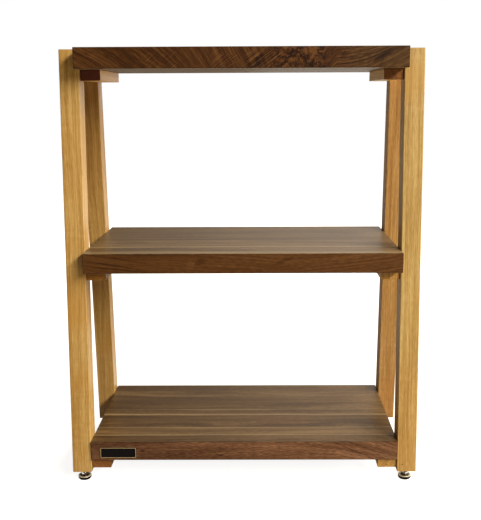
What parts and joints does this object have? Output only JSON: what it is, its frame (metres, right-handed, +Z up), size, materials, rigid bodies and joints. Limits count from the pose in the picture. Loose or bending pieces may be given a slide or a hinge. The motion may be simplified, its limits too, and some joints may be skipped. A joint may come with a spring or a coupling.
{
  "type": "record rack",
  "caption": "Open rack with thick walnut shelves on cleats between leaning light hardwood legs, standing on metal levelling feet.",
  "frame": {"origin": "on the floor, under the middle of the rack", "axes": "+Z up, +X along the shelves to the right as seen from the front, +Y to the back; the front faces -Y"},
  "size_m": [0.6866, 0.3263, 0.848],
  "materials": {
    "walnut": "oiled edge-grain walnut, satin",
    "maple": "oiled light hardwood, satin",
    "nickel": "bright nickel plate",
    "rubber": "matt black",
    "steel": "zinc plated",
    "brass": "plain turned",
    "badge": "black with a thin gold line at the border"
  },
  "bodies": {
    "rack": {"shelf_bottom": "walnut", "shelf_middle": "walnut", "shelf_top": "walnut", "leg_front_left": "maple", "leg_back_left": "maple", "leg_front_right": "maple", "leg_back_right": "maple", "cleat_bottom_left": "maple", "cleat_bottom_right": "maple", "cleat_middle_left": "maple", "cleat_middle_right": "maple", "cleat_top_left": "maple", "cleat_top_right": "maple", "foot_insert_front_left": "brass", "foot_insert_back_left": "brass", "foot_insert_front_right": "brass", "foot_insert_back_right": "brass", "dowel_bottom_left_front": "maple", "shelf_screw_bottom_left_front": "steel", "dowel_bottom_left_back": "maple", "shelf_screw_bottom_left_back": "steel", "dowel_bottom_right_front": "maple", "shelf_screw_bottom_right_front": "steel", "dowel_bottom_right_back": "maple", "shelf_screw_bottom_right_back": "steel", "dowel_middle_left_front": "maple", "shelf_screw_middle_left_front": "steel", "dowel_middle_left_back": "maple", "shelf_screw_middle_left_back": "steel", "dowel_middle_right_front": "maple", "shelf_screw_middle_right_front": "steel", "dowel_middle_right_back": "maple", "shelf_screw_middle_right_back": "steel", "dowel_top_left_front": "maple", "shelf_screw_top_left_front": "steel", "dowel_top_left_back": "maple", "shelf_screw_top_left_back": "steel", "dowel_top_right_front": "maple", "shelf_screw_top_right_front": "steel", "dowel_top_right_back": "maple", "shelf_screw_top_right_back": "steel", "badge_plate": "badge"},
    "foot_front_left": {"foot_pad_front_left": "rubber", "foot_glide_front_left": "nickel"},
    "stud_front_left": {"foot_stud_front_left": "steel"},
    "foot_back_left": {"foot_pad_back_left": "rubber", "foot_glide_back_left": "nickel"},
    "stud_back_left": {"foot_stud_back_left": "steel"},
    "foot_front_right": {"foot_pad_front_right": "rubber", "foot_glide_front_right": "nickel"},
    "stud_front_right": {"foot_stud_front_right": "steel"},
    "foot_back_right": {"foot_pad_back_right": "rubber", "foot_glide_back_right": "nickel"},
    "stud_back_right": {"foot_stud_back_right": "steel"}
  },
  "joints": [
    {"name": "level_front_left", "type": "slide", "parent": "rack", "child": "foot_front_left", "axis": [0, 0, -1], "range_m": [-0.002, 0.01]},
    {"name": "stud_turn_front_left", "type": "hinge", "parent": "foot_front_left", "child": "stud_front_left", "pos_m": [-0.3243, -0.13975, 0.01], "axis": [0, 0, -1], "range_deg": [-570, 2840]},
    {"name": "level_back_left", "type": "slide", "parent": "rack", "child": "foot_back_left", "axis": [0, 0, -1], "range_m": [-0.002, 0.01]},
    {"name": "stud_turn_back_left", "type": "hinge", "parent": "foot_back_left", "child": "stud_back_left", "pos_m": [-0.3243, 0.13975, 0.01], "axis": [0, 0, -1], "range_deg": [-570, 2840]},
    {"name": "level_front_right", "type": "slide", "parent": "rack", "child": "foot_front_right", "axis": [0, 0, -1], "range_m": [-0.002, 0.01]},
    {"name": "stud_turn_front_right", "type": "hinge", "parent": "foot_front_right", "child": "stud_front_right", "pos_m": [0.3243, -0.13975, 0.01], "axis": [0, 0, -1], "range_deg": [-570, 2840]},
    {"name": "level_back_right", "type": "slide", "parent": "rack", "child": "foot_back_right", "axis": [0, 0, -1], "range_m": [-0.002, 0.01]},
    {"name": "stud_turn_back_right", "type": "hinge", "parent": "foot_back_right", "child": "stud_back_right", "pos_m": [0.3243, 0.13975, 0.01], "axis": [0, 0, -1], "range_deg": [-570, 2840]}
  ],
  "couplings": [
    {"joint": "stud_turn_front_left", "follows": "level_front_left", "rad_per_m": 4947.4},
    {"joint": "stud_turn_back_left", "follows": "level_back_left", "rad_per_m": 4947.4},
    {"joint": "stud_turn_front_right", "follows": "level_front_right", "rad_per_m": 4947.4},
    {"joint": "stud_turn_back_right", "follows": "level_back_right", "rad_per_m": 4947.4}
  ]
}
